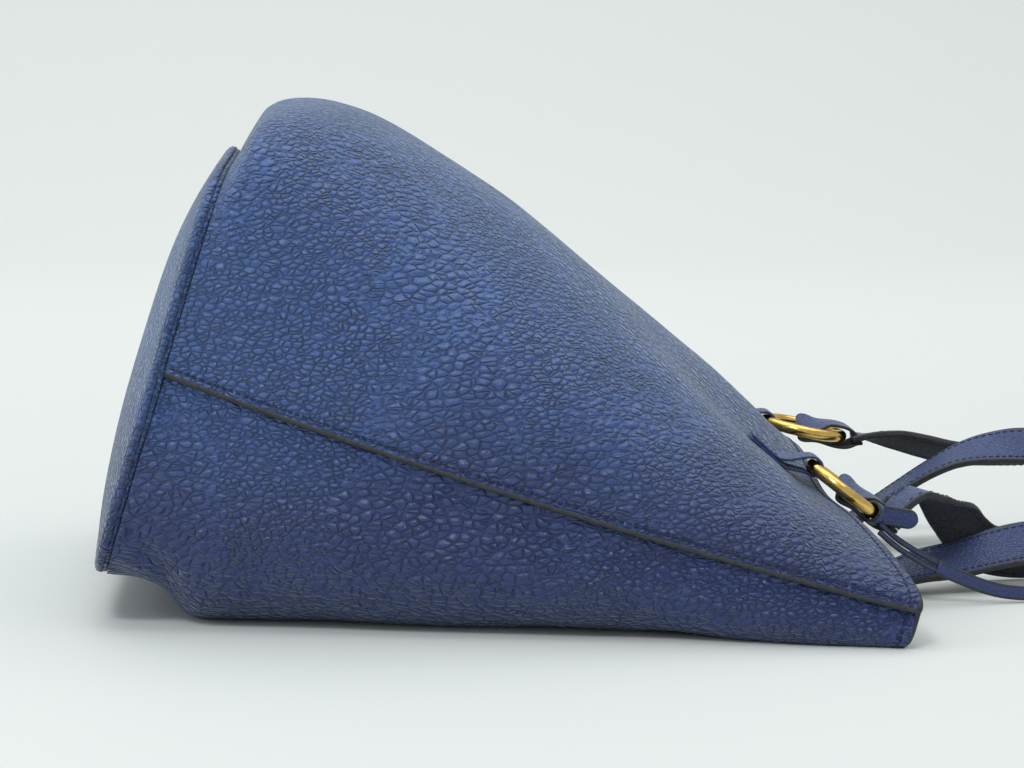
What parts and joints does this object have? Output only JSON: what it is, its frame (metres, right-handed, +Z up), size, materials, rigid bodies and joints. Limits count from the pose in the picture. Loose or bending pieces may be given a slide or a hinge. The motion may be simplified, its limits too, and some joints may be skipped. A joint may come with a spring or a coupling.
{
  "type": "bucket bag",
  "caption": "Soft leather bucket bag lying on its back, with a domed oval base, a wide scooped mouth, ring-hung strap handles and a small tag on a thin strap.",
  "frame": {"origin": "on the table under the middle of the bag, on the flat underside of the back panel", "axes": "+X from the base towards the mouth, +Y across the bag towards its far side, +Z up from the table"},
  "size_m": [0.6103, 0.34, 0.1994],
  "materials": {
    "body_leather": "pebbled satin",
    "strap_leather": "fine-grained satin",
    "tag_leather": "fine-grained satin",
    "edge_paint": "matt edge paint",
    "lining_cloth": "woven matt",
    "base_board": "matt",
    "ring_metal": "polished"
  },
  "bodies": {
    "bag": {"front_panel": "body_leather", "back_panel": "body_leather", "base_panel": "body_leather", "facing_front": "body_leather", "facing_back": "body_leather", "base_welt": "edge_paint", "base_board": "base_board", "base_lining": "lining_cloth", "lining_front": "lining_cloth", "lining_back": "lining_cloth", "snap_stud": "ring_metal", "snap_socket": "ring_metal", "tab_front_near": "strap_leather", "tab_front_far": "strap_leather", "tab_back_near": "strap_leather", "tab_back_far": "strap_leather"},
    "ring_front_near": {"ring_front_near": "ring_metal"},
    "ring_front_far": {"ring_front_far": "ring_metal"},
    "ring_back_near": {"ring_back_near": "ring_metal"},
    "ring_back_far": {"ring_back_far": "ring_metal"},
    "handle_front": {"handle_front": "strap_leather"},
    "handle_back": {"handle_back": "strap_leather"},
    "tag": {"tag_loop": "strap_leather", "tag_strap": "strap_leather", "tag_leather": "tag_leather"}
  },
  "joints": [
    {"name": "front_rings_lift", "type": "hinge", "parent": "bag", "child": "ring_front_near", "pos_m": [0.10714, -0.07, 0.05534], "axis": [0, -1, 0], "range_deg": [0, 80]},
    {"name": "front_far_ring_lift", "type": "hinge", "parent": "bag", "child": "ring_front_far", "pos_m": [0.10714, 0.07, 0.05534], "axis": [0, -1, 0], "range_deg": [0, 80]},
    {"name": "front_handle_swing", "type": "hinge", "parent": "ring_front_near", "child": "handle_front", "pos_m": [0.13469, -0.066, 0.03457], "axis": [-0.0452, -0.994, -0.0993], "range_deg": [0, 8]},
    {"name": "back_handle_lift", "type": "hinge", "parent": "bag", "child": "handle_back", "pos_m": [0.1229, 0, 0.0058], "axis": [0, -1, 0], "range_deg": [0, 8]},
    {"name": "back_near_ring_spin", "type": "hinge", "parent": "bag", "child": "ring_back_near", "pos_m": [0.10565, -0.06, 0.0058], "axis": [0, 0, 1], "continuous": true},
    {"name": "back_far_ring_spin", "type": "hinge", "parent": "bag", "child": "ring_back_far", "pos_m": [0.10565, 0.06, 0.0058], "axis": [0, 0, 1], "continuous": true},
    {"name": "tag_swing", "type": "hinge", "parent": "ring_front_near", "child": "tag", "pos_m": [0.13066, -0.0822, 0.03761], "axis": [-0.5647, -0.7071, 0.4255], "range_deg": [0, 15]}
  ],
  "couplings": [
    {"joint": "front_far_ring_lift", "follows": "front_rings_lift", "ratio": 1},
    {"joint": "back_handle_lift", "follows": "front_rings_lift", "ratio": 0.1}
  ]
}
